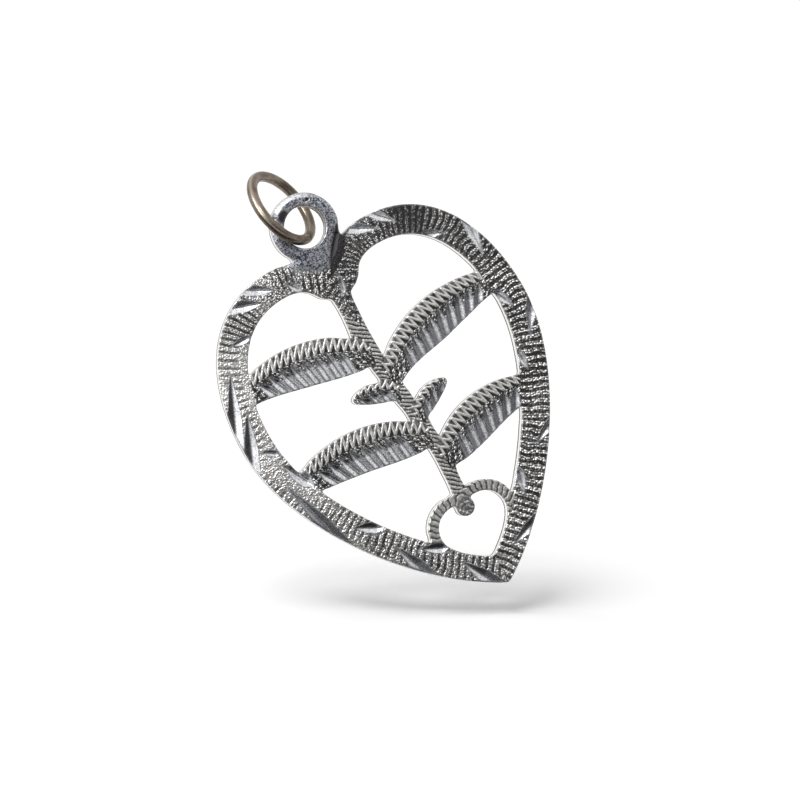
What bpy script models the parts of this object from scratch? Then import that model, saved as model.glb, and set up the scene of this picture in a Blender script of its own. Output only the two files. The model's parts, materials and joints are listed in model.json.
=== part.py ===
"""Heart pendant: a pierced, chased silver heart on a jump ring.

The heart is one sheet, sawn and filed to shape: a frame band, a leafy sprig inside
it, a small open heart in its tip and an eye above its cleft. The jump ring is bent
wire with butted ends. It passes through the eye and takes the chain.

The world origin is the centre of the jump ring, where the chain passes. +Z is up as
the pendant is worn and -Y is the chased front. Outlines are drawn in the plane of the
sheet as (x, z), measured from the centre of the eye.
"""

import math

import bmesh
import bpy
import numpy as np
from mathutils import Vector
from mathutils.geometry import delaunay_2d_cdt

MM = 0.001

# The heart's frame
HEART_WIDTH = 24.9 * MM
HEART_HEIGHT = 29.1 * MM
LOBE_DROP = 1.5 * MM
CLEFT_DEPTH = 2.1 * MM
BAND_WIDTH = 2.25 * MM
PLATE_THICKNESS = 1.0 * MM
RIM_CHAMFER = 0.09 * MM
CORNER_RADIUS = 0.16 * MM

# The eye that takes the jump ring
EYE_OUTER = 5.2 * MM
EYE_HOLE = 3.15 * MM
TAB_WIDTH = 4.2 * MM

# The small open heart in the tip, with the bead in its notch
SMALL_WIDTH = 5.7 * MM
SMALL_HEIGHT = 4.75 * MM
SMALL_CLEFT = 0.9 * MM
SMALL_BAND = 0.85 * MM
TIP_WALL = 2.35 * MM
BEAD = 1.5 * MM

# The sprig
STEM_TOP = 1.5 * MM
STEM_FOOT = 1.05 * MM
STEM_SWAY = 0.4 * MM
LEAF_WIDTH = 3.3 * MM
LEAF_STALK = 1.15 * MM
LEAF_ARCH = 0.08
LEAF_FULLNESS = 0.62
BUD_WIDTH = 1.6 * MM
BUD_LENGTH = 3.7 * MM

# The jump ring
WIRE = 0.8 * MM
RING_BORE = 5.0 * MM
RING_SEAM = 0.06 * MM
RING_CLEARANCE = 0.1 * MM
RING_TURN = math.radians(48)
RING_LEAN = math.radians(10.5)
WIRE_SIDE_SHARE = 0.53

# Bright cuts: the width of the widest, and a short one's width as a share of its length
CUT_LARGEST = 1.2 * MM
CUT_WIDTH_SHARE = 0.34
CUT_DEPTH_SHARE = 0.19
CREASE_WIDTH = 0.7 * MM
CREASE_DEPTH = 0.2 * MM
CLEFT_CUT_LENGTH = 2.2 * MM
CLEFT_CUT_WIDTH = 0.6 * MM
CLEFT_CUT_LEAN = math.radians(14)

# Flutes run off the leaves' lower edges, side by side, over a stretch given as shares
# of the leaf's length. They reach past its spine by a share of its half width, and
# their slant is how far they run along it.
FLUTE_WIDTH = 0.86 * MM
FLUTE_PITCH = 0.92 * MM
FLUTE_DEPTH = 0.18 * MM
FLUTE_REACH = 0.4
FLUTE_SLANT = 1.0 * MM
FLUTED = (0.15, 0.80)

# Between which shares of its length a cut has its full width and depth. A cut that
# has them from its start runs off the edge; the others are boat-shaped.
OUTER_KEEL = (0, 0.45)
INNER_KEEL = (0.25, 0.50)
FLUTE_KEEL = (0, 0.60)

# How far the tools stand over the face and past the edge
CUTTER_PROUD = 0.05 * MM
CUTTER_PAST_EDGE = 0.12 * MM

# Each cut is where it meets the edge and where it fades out, as shares of the way
# down the outline from the cleft to the tip, and how far across the band its end is.
OUTER_CUTS = {
    -1: [
        (0.165, 0.105, 0.75), (0.205, 0.14, 0.85), (0.435, 0.295, 0.36), (0.49, 0.38, 0.70),
        (0.68, 0.53, 0.40), (0.85, 0.765, 0.62), (0.975, 0.895, 0.70),
    ],
    1: [
        (0.08, 0.145, 0.67), (0.13, 0.185, 0.65), (0.315, 0.385, 0.55), (0.495, 0.56, 0.48),
        (0.71, 0.76, 0.55), (0.885, 0.95, 0.53),
    ],
}
INNER_CUTS = {
    -1: [
        (0.045, 0.10, 0.44), (0.235, 0.275, 0.30), (0.505, 0.47, 0.36), (0.60, 0.51, 0.73),
        (0.755, 0.69, 0.45), (0.885, 0.82, 0.65),
    ],
    1: [(0.225, 0.29, 0.64), (0.435, 0.495, 0.56), (0.565, 0.62, 0.65), (0.79, 0.85, 0.51)],
}

# Each leaf: its side, where it leaves the stem and where its point meets the frame
LEAVES = [(-1, 0.32, 0.37), (1, 0.43, 0.42), (-1, 0.70, 0.575), (1, 0.81, 0.635)]
# Each bud: its side, where it leaves the stem and its slant above level
BUDS = [(-1, 0.50, math.radians(20)), (1, 0.62, math.radians(24))]

# How finely outlines are filed, and how far a straight edge may lie off its curve
FILING_STEP = 0.05 * MM
EDGE_SAG = 0.012 * MM

# Outlines are joined in millimetres, where points this close are one
JOIN_WITHIN = 1e-5


def clear_scene():
    for obj in list(bpy.data.objects):
        bpy.data.objects.remove(obj, do_unlink=True)


def metal(name, colour, roughness):
    material = bpy.data.materials.new(name)
    material.use_nodes = True
    shader = material.node_tree.nodes["Principled BSDF"]
    shader.inputs["Base Color"].default_value = (*colour, 1)
    shader.inputs["Metallic"].default_value = 1
    shader.inputs["Roughness"].default_value = roughness
    return material


def add_mesh_object(name, bm, material):
    bmesh.ops.recalc_face_normals(bm, faces=bm.faces)
    mesh = bpy.data.meshes.new(name)
    bm.to_mesh(mesh)
    bm.free()
    mesh.materials.append(material)
    obj = bpy.data.objects.new(name, mesh)
    bpy.context.scene.collection.objects.link(obj)
    return obj


# Plane curves


def bezier(start, leave, arrive, end, count=40):
    """Points of a cubic curve; leave and arrive are its handles, from start and from end."""
    start, leave, arrive, end = (np.array(p, float) for p in (start, leave, arrive, end))
    t = np.linspace(0, 1, count)[:, None]
    near, far = start + leave, end + arrive
    return (1 - t) ** 3 * start + 3 * (1 - t) ** 2 * t * near + 3 * (1 - t) * t**2 * far + t**3 * end


def half_heart(width, height, cleft):
    """The right half of a heart, from the cleft to the tip, with its lobes' tops at z = 0."""
    half = width / 2
    lobe = (0.33 * half, 0)
    side = (half, -0.366 * height)
    tip_handle = 0.235 * height
    tip_slope = math.radians(28)
    parts = [
        bezier((0, -cleft), (0.05 * half, 0.55 * cleft), (-0.17 * half, 0), lobe),
        bezier(lobe, (0.46 * half, 0), (0, 0.19 * height), side),
        bezier(
            side,
            (0, -0.228 * height),
            (tip_handle * math.cos(tip_slope), tip_handle * math.sin(tip_slope)),
            (0, -height),
        ),
    ]
    return np.vstack([parts[0], parts[1][1:], parts[2][1:]])


def mirrored(half):
    """A closed outline, counter-clockwise, from its right half."""
    right = half[::-1]
    left = half[1:-1] * [-1, 1]
    return np.vstack([right, left])


def circle(centre, radius, count=64):
    angles = np.arange(count) * 2 * math.pi / count
    return np.column_stack([centre[0] + radius * np.cos(angles), centre[1] + radius * np.sin(angles)])


def lengths_along(points):
    steps = np.hypot(*np.diff(points, axis=0).T)
    return np.concatenate([[0], np.cumsum(steps)])


def left_normals(points, closed):
    if closed:
        ahead = np.roll(points, -1, axis=0) - np.roll(points, 1, axis=0)
    else:
        ahead = np.gradient(points, axis=0)
    ahead = ahead / np.hypot(*ahead.T)[:, None]
    return np.column_stack([-ahead[:, 1], ahead[:, 0]])


def offset_half(half, distance):
    """The half heart moved inwards by distance, or outwards by a negative one."""
    inward = -left_normals(half, closed=False)
    moved = half + inward * distance
    if distance > 0:
        turn = np.linspace(-math.pi / 2, math.atan2(inward[0, 1], inward[0, 0]), 12)
        round_cleft = half[0] + distance * np.column_stack([np.cos(turn), np.sin(turn)])
        moved = np.vstack([round_cleft[1:], moved])
    whole = np.vstack([half, half * [-1, 1]])
    gaps = np.hypot(moved[:, None, 0] - whole[None, :, 0], moved[:, None, 1] - whole[None, :, 1])
    clear = gaps.min(axis=1) > abs(distance) * 0.995
    kept = moved[clear & (moved[:, 0] > 0)]
    on_axis = kept[[0, -1]] * [0, 1]
    first_slope, last_slope = (kept[1] - kept[0]), (kept[-1] - kept[-2])
    on_axis[0, 1] -= kept[0, 0] * first_slope[1] / first_slope[0]
    on_axis[1, 1] -= kept[-1, 0] * last_slope[1] / last_slope[0]
    return np.vstack([on_axis[:1], kept, on_axis[1:]])


class HeartFrame:
    """The big heart's outline, with places on its band by share of the way down."""

    def __init__(self):
        self.half = half_heart(HEART_WIDTH, HEART_HEIGHT, CLEFT_DEPTH) - [0, LOBE_DROP]
        self.inner = offset_half(self.half, BAND_WIDTH)
        self.along = lengths_along(self.half)
        self.normals = -left_normals(self.half, closed=False)

    def place(self, side, share, across):
        """The point at this share of the way from the cleft to the tip; across is 0 at the outer edge."""
        at = share * self.along[-1]
        point = [np.interp(at, self.along, column) for column in self.half.T]
        inward = [np.interp(at, self.along, column) for column in self.normals.T]
        found = np.array(point) + across * BAND_WIDTH * np.array(inward)
        return found * [side, 1]


class Leaf:
    """A leaf along a gentle arch, from its stalk at the stem to its point."""

    def __init__(self, root, tip, width, stalk, point_width):
        self.root, self.tip = np.array(root), np.array(tip)
        self.width, self.stalk, self.point_width = width, stalk, point_width
        run = self.tip - self.root
        self.length = float(np.hypot(*run))
        across = np.array([-run[1], run[0]]) / self.length
        self.up = across if across[1] > 0 else -across
        self.run = run

    def spine(self, t):
        return self.root + self.run * t + self.up * LEAF_ARCH * self.length * math.sin(math.pi * t)

    def half_width(self, t):
        taper = self.stalk + (self.point_width - self.stalk) * t
        swell = math.sin(math.pi * t**0.85) ** LEAF_FULLNESS
        return (taper + (self.width - taper) * swell) / 2

    def edge(self, t, side):
        ahead, behind = min(t + 0.01, 1), max(t - 0.01, 0)
        along = self.spine(ahead) - self.spine(behind)
        across = np.array([-along[1], along[0]]) / np.hypot(*along)
        if across[1] < 0:
            across = -across
        return self.spine(t) + across * side * self.half_width(t)

    def outline(self, count=28):
        steps = [i / count for i in range(count + 1)]
        upper = [self.edge(t, 1) for t in steps]
        lower = [self.edge(t, -1) for t in reversed(steps)]
        return np.array(upper + lower)


def counter_clockwise(points):
    x, z = points.T
    area = np.sum(x * np.roll(z, -1) - z * np.roll(x, -1))
    return points if area > 0 else points[::-1]


def stem_centre(top, foot, t):
    return np.array([-STEM_SWAY * math.sin(2 * math.pi * t), top + (foot - top) * t])


def stem_outline(top, foot, count=40):
    steps = [i / count for i in range(count + 1)]
    centres = np.array([stem_centre(top, foot, t) for t in steps])
    halves = np.array([(STEM_TOP + (STEM_FOOT - STEM_TOP) * t) / 2 for t in steps])[:, None]
    left = -left_normals(centres, closed=False)
    return np.vstack([centres - left * halves, (centres + left * halves)[::-1]])


# Joining outlines in the plane


def joined_regions(outlines, is_metal):
    """Loops round the metal, where is_metal says which sets of outlines hold metal."""
    points, faces = [], []
    for outline in outlines.values():
        first = len(points)
        points += [Vector(p) / MM for p in counter_clockwise(outline)]
        faces.append(list(range(first, len(points))))
    names = list(outlines)
    verts, _, tris, _, _, sources = delaunay_2d_cdt(points, [], faces, 0, JOIN_WITHIN)
    edges = {}
    for tri, inside in zip(tris, sources):
        if not is_metal({names[i] for i in inside}):
            continue
        for a, b in zip(tri, tri[1:] + tri[:1]):
            if edges.get(b) and a in edges[b]:
                edges[b].remove(a)
            else:
                edges.setdefault(a, set()).add(b)
    return [np.array([verts[i] for i in loop]) * MM for loop in chained(edges)]


def chained(edges):
    """The closed loops that directed edges make."""
    loops = []
    while any(edges.values()):
        start = next(a for a, ends in edges.items() if ends)
        loop, at = [], start
        while True:
            loop.append(at)
            at = edges[at].pop()
            if at == start:
                break
        loops.append(loop)
    return loops


def softened(loop, radius):
    """The loop with its corners rounded as a file leaves them."""
    closed = np.vstack([loop, loop[:1]])
    along = lengths_along(closed)
    count = max(24, int(along[-1] / FILING_STEP))
    at = np.arange(count) * along[-1] / count
    dense = np.column_stack([np.interp(at, along, column) for column in closed.T])
    step = along[-1] / count
    reach = int(3 * radius / step)
    offsets = np.arange(-reach, reach + 1)
    weights = np.exp(-0.5 * (offsets * step / radius) ** 2)
    weights /= weights.sum()
    return sum(w * np.roll(dense, -k, axis=0) for k, w in zip(offsets, weights))


def thinned(loop, turn=math.radians(16)):
    """The loop with only the points that its bends need."""
    ahead = np.roll(loop, -1, axis=0) - loop
    heading = np.arctan2(ahead[:, 1], ahead[:, 0])
    steps = np.hypot(*ahead.T)
    kept, bend, run = [0], 0.0, 0.0
    for i in range(1, len(loop)):
        bend += (heading[i] - heading[i - 1] + math.pi) % (2 * math.pi) - math.pi
        run += steps[i - 1]
        if abs(bend) > turn or run * abs(bend) / 8 > EDGE_SAG:
            kept.append(i)
            bend, run = 0.0, 0.0
    return loop[kept]


# Solids


def slab(loops, eye_centre):
    """The sheet between its two faces, with a chamfer along every rim."""
    front, back = -PLATE_THICKNESS / 2, PLATE_THICKNESS / 2
    layers = [(RIM_CHAMFER, front), (0, front + RIM_CHAMFER), (0, back - RIM_CHAMFER), (RIM_CHAMFER, back)]
    bm = bmesh.new()
    rims = {front: [], back: []}
    for loop in loops:
        inward = left_normals(loop, closed=True)
        rings = []
        for inset, y in layers:
            points = loop + inward * inset
            ring = [bm.verts.new(eye_centre + Vector((x, y, z))) for x, z in points]
            rings.append(ring)
            if y in rims:
                rims[y] += [bm.edges.new((a, b)) for a, b in zip(ring, ring[1:] + ring[:1])]
        for near, far in zip(rings, rings[1:]):
            for i in range(len(near)):
                bm.faces.new((near[i - 1], near[i], far[i], far[i - 1]))
    for edges in rims.values():
        bmesh.ops.triangle_fill(bm, edges=edges, use_beauty=True)
    return bm


def add_cutter(bm, eye_centre, start, end, width, depth, keel):
    """A V-shaped cutter that has its full width and depth between the keel's shares of its length."""
    run = end - start
    across = np.array([-run[1], run[0]]) / np.hypot(*run) * width / 2
    surface = -PLATE_THICKNESS / 2
    near, far = (start + run * share for share in keel)
    spread = (depth + CUTTER_PROUD) / depth
    corners = [(near, surface + depth), (far, surface + depth)]
    for deepest, rim in ((near, start), (near, near + across), (near, near - across),
                         (far, far + across), (far, far - across), (far, end)):
        corners.append((deepest + (rim - deepest) * spread, surface - CUTTER_PROUD))
    verts = [bm.verts.new(eye_centre + Vector((p[0], y, p[1]))) for p, y in corners]
    bmesh.ops.convex_hull(bm, input=verts)


def past_edge(start, end, width, edge_ahead):
    """The cut's start, moved back until its whole width is past the edge along edge_ahead."""
    run = (end - start) / np.hypot(*(end - start))
    ahead = edge_ahead / np.hypot(*edge_ahead)
    slant = abs(run @ ahead) / abs(run[0] * ahead[1] - run[1] * ahead[0])
    return start - run * (slant * width / 2 + CUTTER_PAST_EDGE)


def band_cuts(frame):
    """Start, end, width, depth and keel of every bright cut in the frame band."""
    found = []
    for edge, keel, cuts in ((0, OUTER_KEEL, OUTER_CUTS), (1, INNER_KEEL, INNER_CUTS)):
        for side, places in cuts.items():
            for at_edge, at_end, across in places:
                start = frame.place(side, at_edge, edge)
                end = frame.place(side, at_end, across)
                width = min(CUT_LARGEST, CUT_WIDTH_SHARE * float(np.hypot(*(end - start))))
                if edge == 0:
                    ahead = frame.place(side, at_edge + 0.01, 0) - frame.place(side, at_edge - 0.01, 0)
                    start = past_edge(start, end, width, ahead)
                found.append((start, end, width, CUT_DEPTH_SHARE * width, keel))
    return found


def cleft_cuts(frame):
    """The crease beside the tab, and the cut above the inner cleft."""
    top = np.array([0.9 * TAB_WIDTH / 2, -LOBE_DROP])
    foot = np.array([0, -LOBE_DROP - CLEFT_DEPTH])
    low = frame.inner[0] - [0, CUTTER_PAST_EDGE]
    high = low + CLEFT_CUT_LENGTH * np.array([math.sin(CLEFT_CUT_LEAN), math.cos(CLEFT_CUT_LEAN)])
    return [
        (top, foot, CREASE_WIDTH, CREASE_DEPTH, OUTER_KEEL),
        (low, high, CLEFT_CUT_WIDTH, CUT_DEPTH_SHARE * CLEFT_CUT_WIDTH, INNER_KEEL),
    ]


def leaf_flutes(leaf):
    """Start, end, width, depth and keel of the flutes across the lower side of a leaf."""
    first, last = FLUTED
    count = int((last - first) * leaf.length / FLUTE_PITCH) + 1
    found = []
    for i in range(count):
        t = first + i * FLUTE_PITCH / leaf.length
        start = leaf.edge(t, -1)
        end = leaf.edge(min(t + FLUTE_SLANT / leaf.length, 1), FLUTE_REACH)
        start = past_edge(start, end, FLUTE_WIDTH, leaf.edge(t + 0.02, -1) - leaf.edge(t - 0.02, -1))
        found.append((start, end, FLUTE_WIDTH, FLUTE_DEPTH, FLUTE_KEEL))
    return found


def cut_front(plate, cuts, eye_centre):
    bm = bmesh.new()
    for start, end, width, depth, keel in cuts:
        add_cutter(bm, eye_centre, start, end, width, depth, keel)
    cutter = add_mesh_object("bright_cutters", bm, metal("cutter", (0.8, 0.2, 0.1), 0.5))
    cutter.hide_render = True
    cutter.display_type = "WIRE"
    cutting = plate.modifiers.new("bright_cuts", "BOOLEAN")
    cutting.operation = "DIFFERENCE"
    cutting.solver = "EXACT"
    cutting.use_self = True
    cutting.object = cutter


def smooth_rounds(obj, sharp_angle):
    obj.data.shade_smooth()
    obj.data.set_sharp_from_angle(angle=sharp_angle)


# Where the ring lies in the eye


def ring_frame():
    """The jump ring's normal, its lowest direction and the tangent of the wire there."""
    level = Vector((-math.sin(RING_TURN), math.cos(RING_TURN), 0))
    normal = level * math.cos(RING_LEAN) - Vector((0, 0, math.sin(RING_LEAN)))
    down = Vector((0, 0, -1))
    lowest = (down - normal * down.dot(normal)).normalized()
    return normal, lowest, normal.cross(lowest)


def eye_from_ring():
    """The eye's centre, seen from the ring's centre: the ring's lowest point is in its hole."""
    reach = PLATE_THICKNESS / 2 / math.tan(RING_TURN) + WIRE / 2 / math.sin(RING_TURN)
    free = EYE_HOLE / 2 - RING_CLEARANCE
    wire_side = WIRE_SIDE_SHARE * (free - reach)
    wire_drop = math.sqrt(free**2 - (reach + wire_side) ** 2)
    _, lowest, _ = ring_frame()
    wire_place = lowest * (RING_BORE + WIRE) / 2
    return wire_place - Vector((-wire_side, 0, -wire_drop))


# The pieces


def make_jump_ring():
    """Round wire bent to a circle, its butted ends at the lowest point."""
    radius = (RING_BORE + WIRE) / 2
    _, lowest, tangent = ring_frame()
    half_gap = RING_SEAM / 2 / radius
    count = 72
    curve = bpy.data.curves.new("jump_ring", "CURVE")
    curve.dimensions = "3D"
    curve.bevel_depth = WIRE / 2
    curve.bevel_resolution = 4
    curve.use_fill_caps = True
    spline = curve.splines.new("POLY")
    spline.points.add(count)
    for i, point in enumerate(spline.points):
        angle = half_gap + (2 * math.pi - 2 * half_gap) * i / count
        point.co = (*(lowest * math.cos(angle) + tangent * math.sin(angle)) * radius, 1)
    curve.materials.append(metal("tarnished_wire", (0.40, 0.34, 0.27), 0.32))
    ring = bpy.data.objects.new("jump_ring", curve)
    bpy.context.scene.collection.objects.link(ring)
    return ring


def make_heart_plate():
    """The pierced sheet, with its bright cuts."""
    frame = HeartFrame()
    eye_centre = eye_from_ring()
    window_tip = -LOBE_DROP - HEART_HEIGHT + TIP_WALL
    window_half = half_heart(SMALL_WIDTH, SMALL_HEIGHT, SMALL_CLEFT) + [0, window_tip + SMALL_HEIGHT]
    notch = window_half[0, 1]
    stem_top = frame.inner[0, 1] + STEM_TOP
    stem_foot = notch + SMALL_BAND / 2
    bead_centre = (0, notch + SMALL_BAND / 2)

    leaves = []
    for side, share, frame_share in LEAVES:
        root = stem_centre(stem_top, stem_foot, share)
        tip = frame.place(side, frame_share, 0.6)
        leaves.append(Leaf(root, tip, LEAF_WIDTH, LEAF_STALK, LEAF_STALK))
    buds = []
    for side, share, slant in BUDS:
        root = stem_centre(stem_top, stem_foot, share)
        tip = root + BUD_LENGTH * np.array([side * math.cos(slant), math.sin(slant)])
        buds.append(Leaf(root, tip, BUD_WIDTH, 0.6 * LEAF_STALK, 0.1 * BUD_WIDTH))

    half_tab = TAB_WIDTH / 2
    tab_foot = -LOBE_DROP - CLEFT_DEPTH
    outlines = {
        "outer": mirrored(frame.half),
        "inner": mirrored(frame.inner),
        "tab": np.array([(-half_tab, tab_foot), (half_tab, tab_foot), (half_tab, 0), (-half_tab, 0)]),
        "eye": circle((0, 0), EYE_OUTER / 2),
        "hole": circle((0, 0), EYE_HOLE / 2),
        "window": mirrored(window_half),
        "window_band": mirrored(offset_half(window_half, -SMALL_BAND)),
        "bead": circle(bead_centre, BEAD / 2, 32),
        "stem": stem_outline(stem_top, stem_foot),
    }
    sprig = {f"leaf_{i}": leaf.outline() for i, leaf in enumerate(leaves + buds)}
    outlines.update(sprig)

    def is_metal(inside):
        if "hole" in inside:
            return False
        if "eye" in inside or "tab" in inside:
            return True
        if "outer" not in inside:
            return False
        if "window" in inside:
            return "bead" in inside
        if "inner" not in inside:
            return True
        return bool(inside & {"stem", "window_band", "bead", *sprig})

    loops = joined_regions(outlines, is_metal)
    loops = [thinned(softened(loop, CORNER_RADIUS)) for loop in loops]
    silver = metal("chased_silver", (0.58, 0.57, 0.55), 0.36)
    plate = add_mesh_object("heart_plate", slab(loops, eye_centre), silver)

    cuts = band_cuts(frame) + cleft_cuts(frame)
    for leaf in leaves + buds:
        cuts += leaf_flutes(leaf)
    cut_front(plate, cuts, eye_centre)
    smooth_rounds(plate, math.radians(18))
    return plate


def main():
    clear_scene()
    make_jump_ring()
    make_heart_plate()


main()
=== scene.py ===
"""The looks of the heart pendant: chased, darkened silver on a tarnished wire ring.

The frame gives the sheet's outlines and the depth of its cuts. The carving that is too
fine for the solids is added here: stippled rows round the frame, toothed margins on the
leaves, hatched lines on the stem and small heart, a slight crown and dome, and rounded rims.
Lengths are in metres, and plane coordinates are (x, z) from the centre of the eye.
"""

import json
import math

import bpy
import numpy as np
from mathutils import Matrix, Vector, kdtree
from mathutils.bvhtree import BVHTree
from mathutils.geometry import delaunay_2d_cdt


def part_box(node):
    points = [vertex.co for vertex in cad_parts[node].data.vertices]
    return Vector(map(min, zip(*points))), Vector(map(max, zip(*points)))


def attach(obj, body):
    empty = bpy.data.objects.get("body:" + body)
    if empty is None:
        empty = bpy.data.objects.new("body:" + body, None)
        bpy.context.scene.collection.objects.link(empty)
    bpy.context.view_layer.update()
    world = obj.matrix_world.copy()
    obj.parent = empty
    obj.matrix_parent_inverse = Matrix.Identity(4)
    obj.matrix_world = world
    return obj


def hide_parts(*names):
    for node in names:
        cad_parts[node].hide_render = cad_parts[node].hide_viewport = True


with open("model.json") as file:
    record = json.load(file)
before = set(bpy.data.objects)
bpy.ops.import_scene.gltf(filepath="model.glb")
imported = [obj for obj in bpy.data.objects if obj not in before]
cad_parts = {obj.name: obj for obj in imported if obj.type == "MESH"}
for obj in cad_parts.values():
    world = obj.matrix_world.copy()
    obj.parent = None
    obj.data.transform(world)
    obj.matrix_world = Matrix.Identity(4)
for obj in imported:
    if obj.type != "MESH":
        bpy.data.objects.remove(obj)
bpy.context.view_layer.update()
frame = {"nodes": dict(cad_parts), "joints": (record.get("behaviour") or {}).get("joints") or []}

MM = 0.001

# The camera, as the photograph was taken
IMAGE_WIDTH = 800
IMAGE_HEIGHT = 802
VIEW_SIDE = math.radians(14.5)
VIEW_RISE = math.radians(5.5)
VIEW_ROLL = math.radians(29.9)
VIEW_DISTANCE = 200 * MM
MM_PER_PIXEL = 0.0739 * MM
EYE_PIXEL = (303.9, 227.7)
SENSOR = 36.0

# The sheet, as its solid was drawn
HEART_WIDTH = 24.9 * MM
HEART_HEIGHT = 29.1 * MM
LOBE_DROP = 1.5 * MM
CLEFT_DEPTH = 2.1 * MM
BAND_WIDTH = 2.25 * MM
SMALL_WIDTH = 5.7 * MM
SMALL_HEIGHT = 4.75 * MM
SMALL_CLEFT = 0.9 * MM
SMALL_BAND = 0.85 * MM
TIP_WALL = 2.35 * MM
EYE_OUTER = 5.2 * MM
EYE_HOLE = 3.15 * MM
BEAD = 1.5 * MM
STEM_SWAY = 0.4 * MM
STEM_TOP = 1.5 * MM
LEAF_WIDTH = 3.3 * MM
LEAF_STALK = 1.15 * MM
LEAF_ARCH = 0.08
LEAF_FULLNESS = 0.62
LEAVES = [(-1, 0.32, 0.37), (1, 0.43, 0.42), (-1, 0.70, 0.575), (1, 0.81, 0.635)]
BUDS = [(-1, 0.50, math.radians(20)), (1, 0.62, math.radians(24))]
BUD_LENGTH = 3.7 * MM
BUD_WIDTH = 1.6 * MM

# How finely the sheet's surfaces are drawn
FINE = 0.040 * MM
COARSE = 0.22 * MM
RIM_RADIUS = 0.10 * MM
RIM_RINGS = (0.0, 0.018 * MM, 0.05 * MM, 0.085 * MM)
CUT_LOOK_IN = 1.05 * RIM_RADIUS
DEEPEST_CUT = 0.6 * MM
CUT_SOFTENING = 12
INSIDE_BOX = 0.016 * MM
OVERLAP = 0.05 * MM

# The stippled rows. Beads: how many to a row, pitch, least size, spread and jitter
ROW_PITCH = 0.57 * MM
ROW_DRIFT = 0.50
DRIFT_CELL, FAINT_CELL = (1.7 * MM, 0.8 * MM), (3.1 * MM, 1.1 * MM)
BOLD_BEADS = (3, 0.19 * MM, 0.25, 0.21, 0.70)
FINE_BEADS = (4, 0.14 * MM, 0.15, 0.17, 0.70)
ROW_DEPTH = 0.018 * MM
STIPPLE_DEPTH = 0.045 * MM
COARSE_EXTRA = 0.4
RIGHT_ROWS = 40 * MM
COLUMN_LEAN = 0.55
COLUMNS_LEFT, COLUMNS_LOW = -2.6 * MM, -6.4 * MM

# Where the band's chasing and tone change, as the start and end of a smooth step. The first
# two lean by a share of the height over a level
BOLD_SPAN, BOLD_LEAN, BOLD_LEVEL = (-8 * MM, 2 * MM), 0.35, -9 * MM
COARSE_SPAN, COARSE_LEAN, COARSE_LEVEL = (2 * MM, 7 * MM), 0.3, -14 * MM
# The far left edge of the band, where more painted light is added
LIT_EDGE_SPAN = (-7 * MM, -11 * MM)
LOW_SPAN = (-4 * MM, -13 * MM)
LEFT_SPAN = (2 * MM, -6 * MM)
RIGHT_SPAN = (3 * MM, 8 * MM)
MIDDLE_SPAN = (7 * MM, 4 * MM)
MIDDLE_LOW = -5 * MM
CROWN = 0.17 * MM
CROWN_SPANS = ((-5 * MM, -9.5 * MM), (-3 * MM, -7 * MM))

# How bright beads, the ground between them and the grooves are, and what each place adds
# Painted light: the gains lighten the band low down, at the left and in the upper middle, and the loss
# darkens it at the right
BEAD_TONE, LOW_GAIN, LEFT_GAIN, MIDDLE_GAIN, RIGHT_LOSS, COLUMN_TONE = 0.57, 0.43, 0.19, 0.21, 0.15, 0.92
# How much painted light the beads, ground and grooves take: lighter toward the left and low side, and more
# at the far left edge
BEAD_PAINTED_LIGHT, BEAD_LIT_EDGE = 0.5, 0.15
PAINTED_LIGHT_SHARE, PAINTED_LIGHT_PER_X, PAINTED_LIGHT_PER_Z, PAINTED_LIGHT_LEVEL = 0.55, 0.045 / MM, 0.018 / MM, -14 * MM
GROUND_TONE, GROUND_PAINTED_LIGHT, GROUND_LIT_EDGE, GROUND_COARSE = 0.08, 0.26, 0.12, 0.07
GROOVE_TONE, GROOVE_PAINTED_LIGHT, GROOVE_LIT_EDGE = 0.20, 0.14, 0.12
WALL_TONES = (0.85, 0.80, 0.75, 0.12)
BACK_TONE, BACK_MOTTLE, BACK_SATIN = 0.30, 0.22, 0.5
BACK_CELL, BACK_DENTS = 1.7 * MM, 0.012 * MM
EDGE_SPAN = (0.16 * MM, 0.02 * MM)

# The leaves, the stem and the small heart
LEAF_REACH = 1.25
TOOTH_BASE, TOOTH_END = 0.30, 0.97
TOOTH_PITCH = 0.56 * MM
TOOTH_LEAN = 0.3
TOOTH_LINE = (0.13 * MM, 0.045 * MM)
TOOTH_DEPTH = 0.05 * MM
LEAF_ROW_LEAN = 0.55
HATCH_PITCH = 0.36 * MM
HATCH_DEPTH = 0.03 * MM
HATCH_GRAIN = 0.02 * MM
STEM_SLANT, STEM_WANDER, STEM_TONES = 0.75, 0.5, (0.36, 0.16)
SMALL_SLANT, SMALL_WANDER, SMALL_TONES = 0.5, 0.60, (0.50, 0.26)

# The eye, the bead in the notch and the crease beside the tab
EYE_DOME = 0.16 * MM
DOME_SPAN = (-2.3 * MM, -1.0 * MM)
EYE_PLAIN = 2.65 * MM
TAB_EDGE, TAB_HALF = 3.25 * MM, 2.6 * MM
SATIN_DENTS = 0.012 * MM
# Where the painted highlight arcs round the eye's upper edge
HIGHLIGHT_ARC = (math.radians(55), math.radians(122))
HIGHLIGHT_SPAN, HIGHLIGHT_END = (2.12 * MM, 2.30 * MM), 2.8 * MM
PITS_AT, PITS_SPAN, PITS_DEPTH = (1.45 * MM, 1.65 * MM), (0.75 * MM, 0.35 * MM), 0.05 * MM
# Where the ring's painted shadow lies beside the hole, and how far it reaches
RING_SHADOW_AT, RING_SHADOW_SPOT = (-1.05 * MM, 1.45 * MM), (0.85 * MM, 0.30 * MM)
STREAK_WAY = (0.75, 0.66)
SCRATCH_SHIFT, SCRATCH_WIDTH = 0.12 * MM, (0.09 * MM, 0.03 * MM)
CREASE_FROM = (1.9 * MM, -1.5 * MM)
CREASE_TO = (0, -3.6 * MM)
CREASE_SHADE = 0.72 * MM
CREASE_SHIFT = 0.26 * MM

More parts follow.
